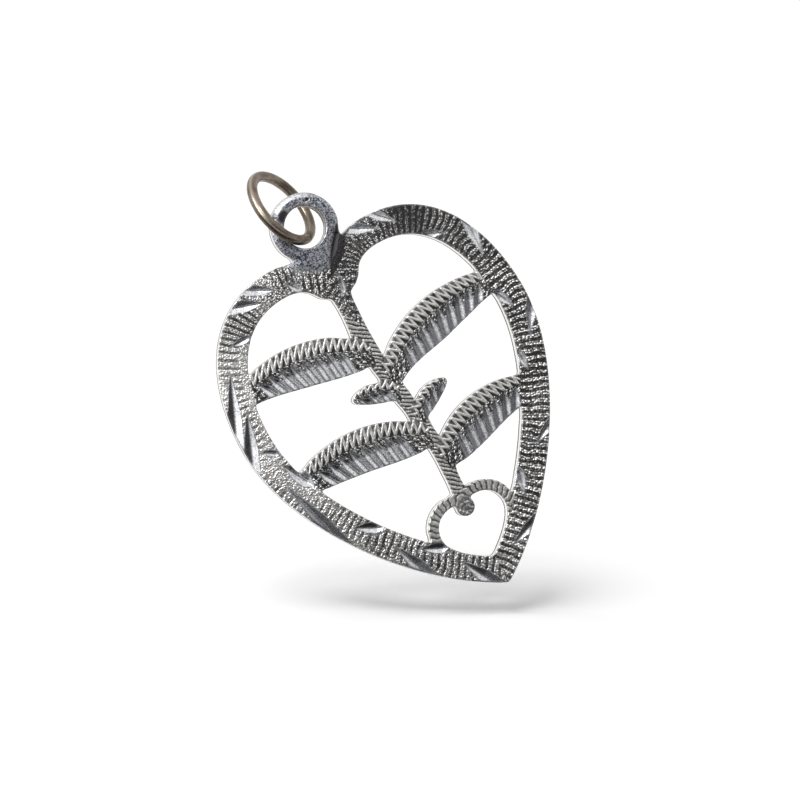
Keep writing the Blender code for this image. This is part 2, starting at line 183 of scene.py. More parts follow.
# Where cuts begin to take their bright tone, and which way their flanks with painted shade face
CUT_SHINE = (0.012 * MM, 0.050 * MM)
SHADED_SLOPES = (0.05, 0.24)
SHADED_WAY = np.array([0.23, -0.97])
FLUTE_SHADED_WAY = np.array([0.86, -0.51])

# The jump ring
WIRE = 0.784 * MM
RING_BORE = 5.0 * MM
RING_SEAM = 0.07 * MM
RING_STEPS, WIRE_SIDES = 220, 32
END_ROUNDING = 0.05 * MM
# Painted highlights on the wire: the turns round it where pale stripes run, their strength and their width
RING_HIGHLIGHT_TURNS = (math.radians(332), math.radians(208))
RING_HIGHLIGHT_SHARES = (1, 0.55)
RING_HIGHLIGHT_SPREAD = math.radians(18)

# The studio. A place or a direction is in shares of the image's right, its up and toward the camera
HEART_MIDDLE = Vector((0, 0, -15 * MM))
WORLD_LIGHT = 0.15
FLOOR_SIZE = 1.6
FLOOR_WHITE = 0.9
FLOOR_GLOW = 0.24
FLOOR_TILT = math.radians(18)
FLOOR_FALL = 0.09
FLOOR_CLEARANCE = 2.0 * MM
CLOTH_WIDTH, CLOTH_DEPTH = 0.30, 0.10
CLOTH_GAP, CLOTH_LIFT = 2.0 * MM, 0.5 * MM
SUN_STRENGTH = 2.6
SUN_SOFTNESS = math.radians(38)
SUN_FROM = (-0.36, 1, 0.26)
TENT_AXIS = (0.58, -0.42, 0.70)
TENT_RADIUS = 0.45
TENT_SPREAD = math.radians(66)
TENT_CORE = math.radians(15)
TENT_DARK = 0.11
LEFT_AT, LEFT_SIZE, LEFT_WATTS = (-0.24, 0.15, 0.32), (0.10, 0.36), 1.25
TOP_AT, TOP_SIZE, TOP_WATTS = (0.01, 0.24, 0.37), (0.16, 0.09), 0.28


# Numbers that look random but are the same each run


def hashed(i, j, seed):
    """A value from 0 to 1 for each pair of whole numbers."""
    i, j = i.astype(np.int64), j.astype(np.int64)
    mixed = (i * 374761393 + j * 668265263 + seed * 1442695041) & 0xFFFFFFFF
    mixed = ((mixed ^ (mixed >> 13)) * 1274126177) & 0xFFFFFFFF
    return ((mixed ^ (mixed >> 16)) & 0xFFFF) / 65535


def value_noise(u, v, seed):
    """Smooth noise from 0 to 1 with cells of size 1."""
    i, j = np.floor(u), np.floor(v)
    a, b = u - i, v - j
    a, b = a * a * (3 - 2 * a), b * b * (3 - 2 * b)
    low = hashed(i, j, seed) * (1 - a) + hashed(i + 1, j, seed) * a
    high = hashed(i, j + 1, seed) * (1 - a) + hashed(i + 1, j + 1, seed) * a
    return low * (1 - b) + high * b


def layered_noise(u, v, seed, layers=3):
    total, share = 0, 0.5
    for layer in range(layers):
        total = total + share * value_noise(u * 2**layer, v * 2**layer, seed + layer)
        share /= 2
    return total / (1 - share * 2)


def smooth_step(low, high, x):
    t = np.clip((x - low) / (high - low), 0, 1)
    return t * t * (3 - 2 * t)


# The frame's outlines


def cad_mesh(node):
    """The node's corners, welded, and its triangles."""
    mesh = frame["nodes"][node].data
    co = np.empty(len(mesh.vertices) * 3)
    mesh.vertices.foreach_get("co", co)
    mesh.calc_loop_triangles()
    tris = np.empty(len(mesh.loop_triangles) * 3, np.int64)
    mesh.loop_triangles.foreach_get("vertices", tris)
    co = co.reshape(-1, 3)
    weld = 1e-4 * MM
    _, first, index = np.unique(np.round(co / weld), axis=0, return_index=True, return_inverse=True)
    return co[first], index.reshape(-1)[tris].reshape(-1, 3)


def rim_loops(co, tris):
    """The sheet's outlines as closed rows of points (x, z), metal on their left."""
    levels = np.unique(np.round(co[:, 1] / (1e-4 * MM)))
    rim_y = levels[-2] * 1e-4 * MM
    on_rim = np.abs(co[:, 1] - rim_y) < 1e-3 * MM
    edges = np.vstack([tris[:, [0, 1]], tris[:, [1, 2]], tris[:, [2, 0]]])
    edges = edges[on_rim[edges].all(axis=1)]
    beside = {}
    for a, b in edges:
        beside.setdefault(int(a), set()).add(int(b))
        beside.setdefault(int(b), set()).add(int(a))
    loops = []
    while beside:
        at = min(beside)
        loop = []
        while at is not None:
            loop.append(at)
            ahead = [b for b in beside.pop(at) if b in beside]
            at = min(ahead) if ahead else None
        loops.append(co[loop][:, [0, 2]])
    loops.sort(key=lambda p: -np.ptp(p[:, 0]) * np.ptp(p[:, 1]))
    return [turned(loop, counter_clockwise=i == 0) for i, loop in enumerate(loops)]


def turned(loop, counter_clockwise):
    x, z = loop.T
    area = np.sum(x * np.roll(z, -1) - z * np.roll(x, -1))
    return loop if (area > 0) == counter_clockwise else loop[::-1]


def smooth_loop(loop, spacing):
    """A smooth closed curve through the loop's points, drawn at this spacing."""
    before, ahead = np.roll(loop, 1, axis=0), np.roll(loop, -1, axis=0)
    back = np.hypot(*(loop - before).T)[:, None]
    front = np.hypot(*(ahead - loop).T)[:, None]
    slope = ((loop - before) / back * front + (ahead - loop) / front * back) / (back + front)
    next_slope = np.roll(slope, -1, axis=0)
    drawn = []
    for i in range(len(loop)):
        count = max(1, round(float(front[i, 0]) / spacing))
        t = (np.arange(count) / count)[:, None]
        span = front[i]
        drawn.append(
            (2 * t**3 - 3 * t**2 + 1) * loop[i]
            + (t**3 - 2 * t**2 + t) * slope[i] * span
            + (3 * t**2 - 2 * t**3) * ahead[i]
            + (t**3 - t**2) * next_slope[i] * span
        )
    return np.vstack(drawn)


def left_normals(loop):
    ahead = np.roll(loop, -1, axis=0) - np.roll(loop, 1, axis=0)
    ahead = ahead / np.hypot(*ahead.T)[:, None]
    return np.column_stack([-ahead[:, 1], ahead[:, 0]])


def inside_loops(points, loops):
    """True for the points that the loops hold between them, by even and odd crossings."""
    starts = np.vstack(loops)
    ends = np.vstack([np.roll(loop, -1, axis=0) for loop in loops])
    found = np.zeros(len(points), bool)
    rows = np.unique(points[:, 1])
    order = np.argsort(points[:, 1], kind="stable")
    bounds = np.searchsorted(points[order, 1], rows)
    for row, first, last in zip(rows, bounds, [*bounds[1:], len(points)]):
        crosses = (starts[:, 1] <= row) != (ends[:, 1] <= row)
        a, b = starts[crosses], ends[crosses]
        at = np.sort(a[:, 0] + (row - a[:, 1]) * (b[:, 0] - a[:, 0]) / (b[:, 1] - a[:, 1]))
        members = order[first:last]
        found[members] = np.searchsorted(at, points[members, 0]) % 2 == 1
    return found


def eye_middle(loops):
    """The middle of the highest hole."""
    hole = max(loops[1:], key=lambda loop: loop[:, 1].mean())
    return (hole.min(axis=0) + hole.max(axis=0)) / 2


class Nearest:
    """Finds the nearest of some points."""

    def __init__(self, points):
        self.tree = kdtree.KDTree(len(points))
        for i, (x, z) in enumerate(points):
            self.tree.insert((x, 0, z), i)
        self.tree.balance()

    def to(self, points):
        return np.array([self.tree.find((x, 0, z))[1] for x, z in points])


class Rims:
    """The nearest place on the sheet's outlines."""

    def __init__(self, loops):
        self.points = np.vstack(loops)
        self.inward = np.vstack([left_normals(loop) for loop in loops])
        self.finder = Nearest(self.points)

    def nearest(self, points):
        found = self.finder.to(points)
        return found, np.hypot(*(points - self.points[found]).T)


# Where each kind of chasing lies


def bezier(start, leave, arrive, end, count=160):
    start, leave, arrive, end = (np.array(p, float) for p in (start, leave, arrive, end))
    t = np.linspace(0, 1, count)[:, None]
    near, far = start + leave, end + arrive
    return (1 - t) ** 3 * start + 3 * (1 - t) ** 2 * t * near + 3 * (1 - t) * t**2 * far + t**3 * end


def half_heart(width, height, cleft):
    """The right half of a heart, from the cleft to the tip, with its lobes' tops at z = 0."""
    half = width / 2
    lobe = (0.33 * half, 0)
    side = (half, -0.366 * height)
    tip_handle = 0.235 * height
    tip_slope = math.radians(28)
    tip_leave = (tip_handle * math.cos(tip_slope), tip_handle * math.sin(tip_slope))
    parts = [
        bezier((0, -cleft), (0.05 * half, 0.55 * cleft), (-0.17 * half, 0), lobe),
        bezier(lobe, (0.46 * half, 0), (0, 0.19 * height), side),
        bezier(side, (0, -0.228 * height), tip_leave, (0, -height)),
    ]
    return np.vstack([parts[0], parts[1][1:], parts[2][1:]])


class HalfHeart:
    """Places beside a heart's outline: how far along it, from the cleft, and how far off it."""

    def __init__(self, width, height, cleft, top):
        self.curve = half_heart(width, height, cleft) + [0, top]
        steps = np.hypot(*np.diff(self.curve, axis=0).T)
        self.along = np.concatenate([[0], np.cumsum(steps)])
        ahead = np.gradient(self.curve, axis=0)
        ahead = ahead / np.hypot(*ahead.T)[:, None]
        self.inward = np.column_stack([ahead[:, 1], -ahead[:, 0]])
        self.finder = Nearest(self.curve)

    def measure(self, points):
        folded = np.column_stack([np.abs(points[:, 0]), points[:, 1]])
        found = self.finder.to(folded)
        off = folded - self.curve[found]
        inward = (off * self.inward[found]).sum(axis=1)
        along_step = off[:, 0] * -self.inward[found][:, 1] + off[:, 1] * self.inward[found][:, 0]
        return self.along[found] + along_step, inward

    def place(self, side, share, across):
        at = share * self.along[-1]
        point = np.array([np.interp(at, self.along, column) for column in self.curve.T])
        inward = np.array([np.interp(at, self.along, column) for column in self.inward.T])
        return (point + across * BAND_WIDTH * inward) * [side, 1]


class Leaf:
    """A leaf's own coordinates: along its arched spine and across it, upper side positive."""

    def __init__(self, root, tip, width):
        self.root, self.run = np.array(root), np.array(tip) - np.array(root)
        self.length = float(np.hypot(*self.run))
        across = np.array([-self.run[1], self.run[0]]) / self.length
        self.up = across if across[1] > 0 else -across
        self.ahead = self.run / self.length
        self.width = width

    def measure(self, points):
        """How far along and across the leaf, as lengths, and a share that is over 1 outside it."""
        off = points - self.root
        along = off @ self.ahead
        t = np.clip(along / self.length, 0, 1)
        across = off @ self.up - LEAF_ARCH * self.length * np.sin(math.pi * t)
        swell = np.sin(math.pi * t**0.85) ** LEAF_FULLNESS
        half = (LEAF_STALK + (self.width - LEAF_STALK) * swell) / 2
        beyond = np.where((along < 0) | (along > self.length), 4.0, 0.0)
        return along, across, np.abs(across) / half + beyond, half


# The relief of the front


class Front:
    """The points of the front: where they lie, and the depth and looks given to them so far.

    The stem is the heights of its top and foot.
    """

    def __init__(self, points, eye, stem):
        self.here, self.stem = points - eye, stem
        self.x, self.z = self.here.T
        self.heart = HalfHeart(HEART_WIDTH, HEART_HEIGHT, CLEFT_DEPTH, -LOBE_DROP)
        self.along, self.inward = self.heart.measure(self.here)
        self.small_top = -LOBE_DROP - HEART_HEIGHT + TIP_WALL + SMALL_HEIGHT
        small = HalfHeart(SMALL_WIDTH, SMALL_HEIGHT, SMALL_CLEFT, self.small_top)
        self.small_along, small_inward = small.measure(self.here)
        self.off_small = -small_inward
        self.in_band = self.inward < BAND_WIDTH + OVERLAP
        self.in_small = (self.off_small < SMALL_BAND + OVERLAP) & (self.inward > BAND_WIDTH * 0.9)
        run = np.subtract(CREASE_TO, CREASE_FROM)
        run = run / np.hypot(*run)
        off = self.here - CREASE_FROM
        self.down_crease = off @ run
        self.beside_crease = off[:, 0] * -run[1] + off[:, 1] * run[0]
        self.grain = self.noise(0.11, 0.11, 12)

    def noise(self, cell_x, cell_z, seed, kind=value_noise):
        """Noise over the front, with cells of this many millimetres."""
        return kind(self.x / (cell_x * MM), self.z / (cell_z * MM), seed)

    def away(self, place):
        return np.hypot(self.x - place[0], self.z - place[1])

    def overlay(self, mask, depth, bright):
        self.depth = np.where(mask, depth, self.depth)
        self.bright = np.where(mask, bright, self.bright)


def stipple(along, across, bold, seed, beads_across, bead_pitch, least, spread, jitter):
    """Beads in rows across the band: a height from 0 to 1, and how far out of a groove."""
    drift = ROW_DRIFT * (value_noise(along / DRIFT_CELL[0], across / DRIFT_CELL[1], seed) - 0.5)
    row = along / ROW_PITCH + drift
    ridge = smooth_step(-0.85 + 0.25 * bold, 0.25 * bold, np.cos(2 * math.pi * row))
    faint = value_noise(along / FAINT_CELL[0], across / FAINT_CELL[1], seed + 7)
    faint = smooth_step(0.35, 0.75, faint)
    ridge = np.minimum(1, ridge + (0.75 - 0.60 * bold) * faint)
    u, v = row * beads_across, across / bead_pitch
    i, j = np.floor(u), np.floor(v)
    height = np.zeros(len(along))
    for di in (-1, 0, 1):
        for dj in (-1, 0, 1):
            ci, cj = i + di, j + dj
            du = ci + 0.5 + jitter * (hashed(ci, cj, seed + 1) - 0.5) - u
            dv = cj + 0.5 + jitter * (hashed(ci, cj, seed + 2) - 0.5) - v
            size = least + (1 - least) * hashed(ci, cj, seed + 3)
            stroke = 0.6 + 0.9 * hashed(ci, cj, seed + 4)
            height = np.maximum(height, size * np.exp(-(du**2 * stroke + dv**2 / stroke) / spread))
    return smooth_step(0.10, 0.60, height), ridge


def zigzag(along, across, reach):
    """How near a point is to the line of teeth, and whether it lies inside a tooth."""
    share = np.clip(across / reach, 0, 1)
    wave = np.abs(((along + TOOTH_LEAN * across) / TOOTH_PITCH) % 1 - 0.5) * 2
    steep = 2 * reach / TOOTH_PITCH
    off = np.abs(share - wave) * reach / np.hypot(1, steep)
    return smooth_step(*TOOTH_LINE, off), smooth_step(-0.1, 0.1, share - wave)


def chase_band(front):
    """Rows of beads across the band, and columns of them under the eye. Gives the finer beads."""
    x, z = front.x, front.z
    side = np.where(x < 0, -1, 1)
    under_eye = (z > COLUMNS_LOW) & (front.beside_crease < 0) & (x > COLUMNS_LEFT)
    lean = math.hypot(1, COLUMN_LEAN)
    row_at = np.where(under_eye, (x - COLUMN_LEAN * z) / lean, front.along * side + RIGHT_ROWS * (side > 0))
    row_across = np.where(under_eye, (-z - COLUMN_LEAN * x) / lean, front.inward)
    bold = smooth_step(*BOLD_SPAN, x - BOLD_LEAN * (z - BOLD_LEVEL))
    large, ridge = stipple(row_at, row_across, bold, 3, *BOLD_BEADS)
    small, _ = stipple(row_at, row_across, bold, 5, *FINE_BEADS)
    coarse = smooth_step(*COARSE_SPAN, x - COARSE_LEAN * (z - COARSE_LEVEL))
    beads = large * coarse + small * (1 - coarse)
    hollow = 1 - beads * (0.45 + 0.55 * ridge)
    front.depth = ROW_DEPTH * (1 - ridge) + STIPPLE_DEPTH * (1 + COARSE_EXTRA * coarse) * hollow

    # Painted light: lighter toward the left and low side and at the far left edge; the gains below also
    # lighten low, left and upper middle, and darken the right
    painted_light = np.clip(PAINTED_LIGHT_SHARE - PAINTED_LIGHT_PER_X * x - PAINTED_LIGHT_PER_Z * (z - PAINTED_LIGHT_LEVEL), 0, 1)
    painted_lighting = smooth_step(*LIT_EDGE_SPAN, x)
    beads = np.minimum(1, beads * (1 + BEAD_PAINTED_LIGHT * painted_light))
    beads = np.minimum(1, beads + BEAD_LIT_EDGE * painted_lighting)
    ground = GROUND_TONE + GROUND_PAINTED_LIGHT * painted_light + GROUND_LIT_EDGE * painted_lighting + GROUND_COARSE * coarse
    groove = GROOVE_TONE + GROOVE_PAINTED_LIGHT * painted_light + GROOVE_LIT_EDGE * painted_lighting
    middle = smooth_step(*MIDDLE_SPAN, np.abs(x)) * (z > MIDDLE_LOW)
    gains = LOW_GAIN * smooth_step(*LOW_SPAN, z) + LEFT_GAIN * smooth_step(*LEFT_SPAN, x)
    top = np.minimum(1, BEAD_TONE + gains + MIDDLE_GAIN * middle) - RIGHT_LOSS * smooth_step(*RIGHT_SPAN, x)
    top = np.where(under_eye, COLUMN_TONE, top)
    front.bright = (ground + (top - ground) * beads) * (groove + (1 - groove) * ridge)
    return small


def hatch(front, mask, lines, beads, tones):
    """Lines cut into a place, with the least tones of its ground and its grooves."""
    grit = np.maximum(beads, 0.6 * front.grain * lines)
    ground, groove = tones
    bright = (ground + (1 - ground) * grit) * (groove + (1 - groove) * lines)
    front.overlay(mask, HATCH_DEPTH * (1 - lines) + HATCH_GRAIN * front.grain, bright)


def hatch_stem(front, beads):
    top, foot = front.stem
    share = np.clip((top - front.z) / (top - foot), 0, 1)
    off = front.x + STEM_SWAY * np.sin(2 * math.pi * share)
    on_stem = (np.abs(off) < STEM_TOP / 2 + 2 * OVERLAP) & ~front.in_band & ~front.in_small
    slant = (front.z + STEM_SLANT * off) / HATCH_PITCH
    wander = STEM_WANDER * value_noise(front.z / (0.7 * MM), off / (0.35 * MM), 9)
    lines = smooth_step(-1.0, 0.2, np.cos(2 * math.pi * (slant + wander)))
    hatch(front, on_stem, lines, beads, STEM_TONES)


def hatch_small_heart(front, beads):
    """Lines square to the small heart's outline."""
    slant = front.small_along / HATCH_PITCH + SMALL_SLANT * front.off_small / SMALL_BAND
    wander = SMALL_WANDER * value_noise(front.small_along / (0.6 * MM), front.off_small / (0.3 * MM), 14)
    lines = smooth_step(-1.0, 0.3, np.cos(2 * math.pi * (slant + wander))) * (0.75 + 0.25 * front.grain)
    hatch(front, front.in_small, lines, beads, SMALL_TONES)


def chase_leaves(front):
    """Teeth along each leaf's upper side, and beads below, where the frame has its flutes."""
    taken = np.full(len(front.x), np.inf)
    for leaf in leaf_list(front.heart, front.stem):
        along, across, share, half = leaf.measure(front.here)
        mine = (share < LEAF_REACH) & (share < taken) & ~front.in_band & ~front.in_small
        taken = np.where(mine, share, taken)
        base = TOOTH_BASE * half
        upper = mine & (across > base)
        line, tooth = zigzag(along, across - base, half * TOOTH_END - base)
        high = np.maximum(line * (0.70 + 0.50 * front.grain), 0.08 + 0.30 * tooth * front.grain)
        front.overlay(upper, TOOTH_DEPTH * (1 - high), high)
        beads, ridge = stipple(along - LEAF_ROW_LEAN * across, across, 1.0, 17, *FINE_BEADS)
        ground = (0.10 + 0.90 * beads) * (0.35 + 0.65 * ridge)
        front.overlay(mine & ~upper, STIPPLE_DEPTH * (1 - beads), ground)
    return np.isfinite(taken)


def smooth_plain_places(front):
    """The eye with its tab, and the bead in the notch: satin, slightly dented and pitted, scratched on the
    bead, and darkened by a painted shadow beside the ring.
    """
    x, z = front.x, front.z
    from_eye = np.hypot(x, z)
    tab_edge = TAB_EDGE + 0.5 * MM * (front.noise(0.35, 1, 21) - 0.5)
    plain = smooth_step(tab_edge + 0.35 * MM, tab_edge - 0.25 * MM, from_eye) * (np.abs(x) < TAB_HALF)
    plain = np.maximum(plain, (from_eye < EYE_PLAIN) * 1.0)
    plain = np.where((front.beside_crease > 0) & (front.down_crease > 0.2 * MM), 0, plain)

    notch = front.small_top - SMALL_CLEFT
    from_bead = front.away((0, notch + SMALL_BAND / 2))
    bead_edge = from_bead + 0.5 * MM * (front.noise(0.3, 0.3, 41) - 0.5)
    on_bead = smooth_step(BEAD * 0.58, BEAD * 0.30, bead_edge)
    satin = np.maximum(plain, 0.30 * on_bead)
    a, b = STREAK_WAY
    streak = layered_noise((a * x + b * z) / (0.13 * MM), (a * z - b * x) / (0.45 * MM), 47)
    streak = smooth_step(0.40, 0.70, streak)
    bright = front.bright * (1 - on_bead) + (0.08 + 0.50 * streak) * on_bead
    off_scratch = np.abs(a * x + b * (z - notch) + SCRATCH_SHIFT)
    scratch = smooth_step(*SCRATCH_WIDTH, off_scratch) * (from_bead < 0.42 * BEAD)

    grain = front.noise(0.16, 0.16, 31, layered_noise)
    ring_middle = (EYE_HOLE + EYE_OUTER) / 4
    dome = np.clip((from_eye - ring_middle) / ((EYE_OUTER - EYE_HOLE) / 4), 0, 1.1) ** 2
    dome = dome * smooth_step(*DOME_SPAN, z)
    pitted = smooth_step(0.60, 0.72, front.noise(0.20, 0.24, 43))
    pitted = pitted * smooth_step(*PITS_SPAN, front.away(PITS_AT))
    # Painted shadow: dark beside the ring, at the left of the hole
    painted_lighting = smooth_step(*RING_SHADOW_SPOT, front.away(RING_SHADOW_AT)) * smooth_step(2.45 * MM, 2.0 * MM, from_eye)
    dents = SATIN_DENTS * grain * satin + EYE_DOME * dome + PITS_DEPTH * pitted
    front.depth = front.depth * (1 - satin) + dents
    bright = bright * (1 - satin) + (0.35 + 0.3 * grain) * satin
    front.bright = np.maximum(bright * (1 - pitted), scratch) * (1 - painted_lighting)
    front.satin = satin * (1 - pitted) * (1 - scratch) * (1 - painted_lighting)


def eye_painted_highlight(front):
    """A painted highlight: the arc at the upper edge of the eye, given the bright tone of the cuts."""
    turn, from_eye = np.arctan2(front.z, front.x), np.hypot(front.x, front.z)
    first, last = HIGHLIGHT_ARC
    highlight = smooth_step(first - 0.25, first + 0.1, turn) * smooth_step(last + 0.25, last - 0.1, turn)
    highlight = highlight * smooth_step(*HIGHLIGHT_SPAN, from_eye) * (from_eye < HIGHLIGHT_END)
    return highlight * (0.55 + 0.45 * front.grain)


def shade_crease(front):
    """The dark beside the tab, where the crease turns from the light."""
    length = math.dist(CREASE_FROM, CREASE_TO)
    width = CREASE_SHADE * smooth_step(length + 1.2 * MM, 0.4 * length, front.down_crease)
    off = np.abs(front.beside_crease - CREASE_SHIFT) / np.maximum(width, 1e-9)
    crease = smooth_step(1.0, 0.45, off) * smooth_step(-0.9 * MM, -0.5 * MM, front.down_crease)
    front.bright = front.bright * (1 - crease)
    front.satin = front.satin * (1 - crease)
    front.polished = front.polished * (1 - smooth_step(0, 0.3, crease))


def cut_depths(points, tris, rims, bvh, front_y):
    """How deep the frame's own cuts are. Beside the rim they are looked up a little inside."""
    nearest, gap = rims.nearest(points)
    step_in = rims.points[nearest] + rims.inward[nearest] * CUT_LOOK_IN
    at = np.where((gap < CUT_LOOK_IN)[:, None], step_in, points)
    cut = np.zeros(len(points))
    ahead = Vector((0, 1, 0))
    for i, (x, z) in enumerate(at):
        hit = bvh.ray_cast(Vector((x, front_y - 1 * MM, z)), ahead, 1.9 * MM)[0]
        if hit is not None:
            cut[i] = hit.y - front_y
    return softened(np.clip(cut, 0, DEEPEST_CUT), tris, CUT_SOFTENING), gap


def rim_rounding(gap):
    """How far the rounded rim drops at this distance from the edge."""
    rim = np.clip(RIM_RADIUS - gap, 0, RIM_RADIUS)
    return RIM_RADIUS - np.sqrt(RIM_RADIUS**2 - rim**2)


def front_relief(points, tris, cut, gap, eye, stem):
    """The front with its depth, and how bright, satin and shaded each point is, and where it takes the
    bright cut tone or a painted highlight.
    """
    front = Front(points, eye, stem)
    fine_beads = chase_band(front)
    hatch_stem(front, fine_beads)
    hatch_small_heart(front, fine_beads)
    on_leaf = chase_leaves(front)
    smooth_plain_places(front)

    # The bright cuts wipe out the stipple under them
    front.polished = smooth_step(*CUT_SHINE, cut)
    front.depth = cut + front.depth * (1 - front.polished)
    shade_crease(front)
    slope = mesh_slope(points, cut, tris)
    right_leaf = on_leaf & (front.x > 0)
    turned_away = np.where(right_leaf, slope @ FLUTE_SHADED_WAY, slope @ SHADED_WAY)
    front.shaded = softened(smooth_step(*SHADED_SLOPES, turned_away), tris, 2)
    # The painted highlight on the eye's upper edge takes the same bright tone as the cuts
    front.polished = np.maximum(front.polished, eye_painted_highlight(front))
    crown = np.clip(1 - front.inward / (0.75 * BAND_WIDTH), 0, 1) ** 2 * CROWN
    crown = crown * smooth_step(*CROWN_SPANS[0], front.x) * smooth_step(*CROWN_SPANS[1], front.z)
    depth = front.depth + crown
    front.depth = softened(np.maximum(depth, 0.35 * depth + rim_rounding(gap)), tris, 1)
    return front


def leaf_list(heart, stem):
    top, foot = stem

    def on_stem(share):
        return np.array([-STEM_SWAY * math.sin(2 * math.pi * share), top + (foot - top) * share])

    found = [Leaf(on_stem(share), heart.place(side, at, 0.6), LEAF_WIDTH) for side, share, at in LEAVES]
    for side, share, slant in BUDS:
        root = on_stem(share)
        tip = root + BUD_LENGTH * np.array([side * math.cos(slant), math.sin(slant)])
        found.append(Leaf(root, tip, BUD_WIDTH))
    return found


# Meshes


def lattice(low, high, spacing):
    """Points of a triangular lattice over the box."""
    rise = spacing * math.sqrt(3) / 2
    rows = int((high[1] - low[1]) / rise) + 1
    columns = int((high[0] - low[0]) / spacing) + 2
    j, i = np.mgrid[0:rows, 0:columns]
    x = low[0] + (i + 0.5 * (j % 2)) * spacing
    z = low[1] + j * rise
    return np.column_stack([x.ravel(), z.ravel()])


def triangulated(loops, insets, spacing):
    """Points and triangles over the metal. The first points are the outlines' own, in order."""
    rings = [loop + left_normals(loop) * inset for inset in insets for loop in loops]
    ring_points = np.vstack(rings)
    edges, first = [], 0
    for loop in loops:
        count = len(loop)
        edges += [(first + i, first + (i + 1) % count) for i in range(count)]
        first += count
    outline_count = first
    low, high = ring_points.min(axis=0), ring_points.max(axis=0)
    inner = lattice(low, high, spacing)
    inner = inner[inside_loops(inner, loops)]
    _, gap = Rims(loops).nearest(inner)
    inner = inner[gap > insets[-1] + 0.6 * min(spacing, FINE)]
    points = np.vstack([ring_points, inner]) / MM
    verts, _, tris, origin, _, _ = delaunay_2d_cdt([tuple(p) for p in points], edges, [], 0, 1e-7)
    verts, tris = np.array(verts) * MM, np.array(tris)
    rank = np.array([min(ids) if ids else len(points) for ids in origin])
    on_rim = rank[tris] < outline_count
    unsure = on_rim.all(axis=1)
    keep = np.ones(len(tris), bool)
    keep[unsure] = inside_loops(verts[tris[unsure]].mean(axis=1), loops)
    order = np.argsort(rank, kind="stable")
    place = np.empty(len(order), int)
    place[order] = np.arange(len(order))
    tris = place[tris[keep]]
    a, b, c = (verts[order][tris[:, i]] for i in range(3))
    turn = (b - a)[:, 0] * (c - a)[:, 1] - (b - a)[:, 1] * (c - a)[:, 0]
    tris[turn < 0] = tris[turn < 0][:, ::-1]
    return verts[order], tris, outline_count


def softened(values, tris, rounds):
    """Values on a mesh, averaged with their neighbours this many times."""
    edges = np.vstack([tris[:, [0, 1]], tris[:, [1, 2]], tris[:, [2, 0]]])
    a, b = np.concatenate([edges[:, 0], edges[:, 1]]), np.concatenate([edges[:, 1], edges[:, 0]])
    count = np.bincount(a, minlength=len(values))
    for _ in range(rounds):
        around = np.bincount(a, weights=values[b], minlength=len(values)) / np.maximum(count, 1)
        values = 0.5 * values + 0.5 * around
    return values


def mesh_slope(points, values, tris):
    """How steeply values on a flat mesh rise along x and z, at each point."""
    a, b, c = (points[tris[:, i]] for i in range(3))
    ab, ac = b - a, c - a
    rise_b, rise_c = values[tris[:, 1]] - values[tris[:, 0]], values[tris[:, 2]] - values[tris[:, 0]]
    area = ab[:, 0] * ac[:, 1] - ab[:, 1] * ac[:, 0]
    usable = np.abs(area) > 1e-6 * MM**2
    area = np.where(usable, area, 1)
    slope_x = np.where(usable, (rise_b * ac[:, 1] - rise_c * ab[:, 1]) / area, 0)
    slope_z = np.where(usable, (rise_c * ab[:, 0] - rise_b * ac[:, 0]) / area, 0)
    corners = tris.ravel()
    count = np.maximum(np.bincount(corners, minlength=len(points)), 1)
    slopes = [np.repeat(slope, 3) for slope in (slope_x, slope_z)]
    sums = [np.bincount(corners, weights=slope, minlength=len(points)) for slope in slopes]
    return np.column_stack(sums) / count[:, None]


def add_mesh(name, points, faces, material, smooth=False):
    mesh = bpy.data.meshes.new(name)
    mesh.from_pydata(points, [], faces)
    mesh.materials.append(material)
    if smooth:
        mesh.shade_smooth()
    obj = bpy.data.objects.new(name, mesh)
    bpy.context.scene.collection.objects.link(obj)
    return obj


def add_attribute(obj, name, values):
    attribute = obj.data.attributes.new(name, "FLOAT", "POINT")
    attribute.data.foreach_set("value", np.asarray(values, np.float32))


